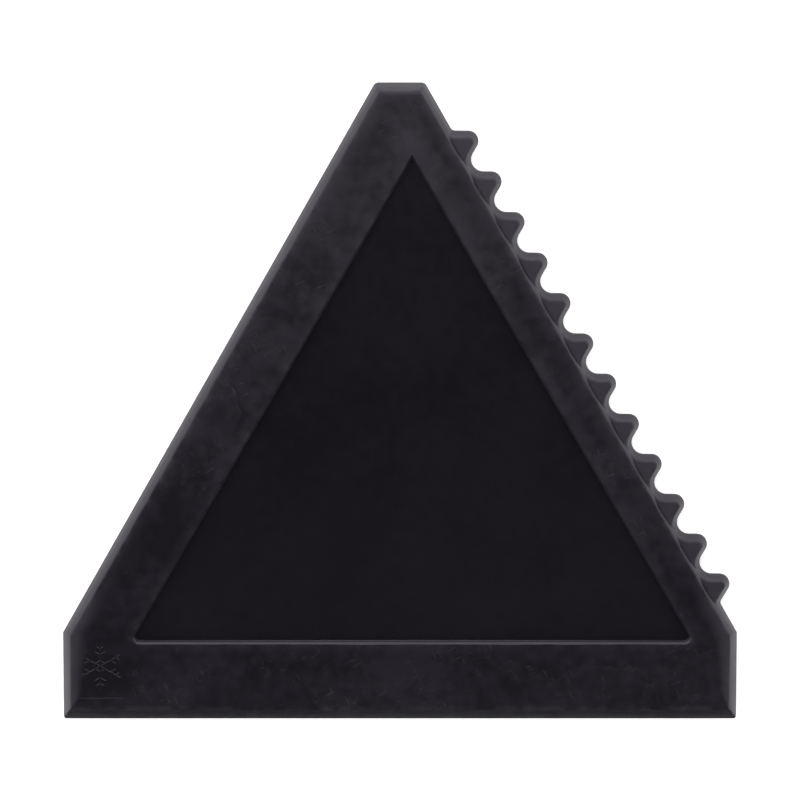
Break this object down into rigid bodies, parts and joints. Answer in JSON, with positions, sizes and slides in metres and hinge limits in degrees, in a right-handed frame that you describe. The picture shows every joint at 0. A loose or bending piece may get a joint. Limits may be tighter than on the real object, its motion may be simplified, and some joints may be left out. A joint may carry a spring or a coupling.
{
  "type": "ice scraper",
  "caption": "Flat triangular hand ice scraper with sharpened sides, a thin recessed panel inside a thick ring, and a comb of rounded teeth along one slope.",
  "frame": {"origin": "middle of the bounding box, on the back face that the scraper lies on", "axes": "+X along the straight blade, towards the end where the comb finishes; +Y from the blade to the tip; +Z out of the front face"},
  "size_m": [0.12, 0.114, 0.0055],
  "materials": {
    "satin_black": "satin moulded polystyrene",
    "smooth_black": "smooth moulded polystyrene"
  },
  "bodies": {
    "root": {"rim": "satin_black", "centre_panel": "smooth_black", "tooth_comb": "satin_black"}
  },
  "joints": []
}
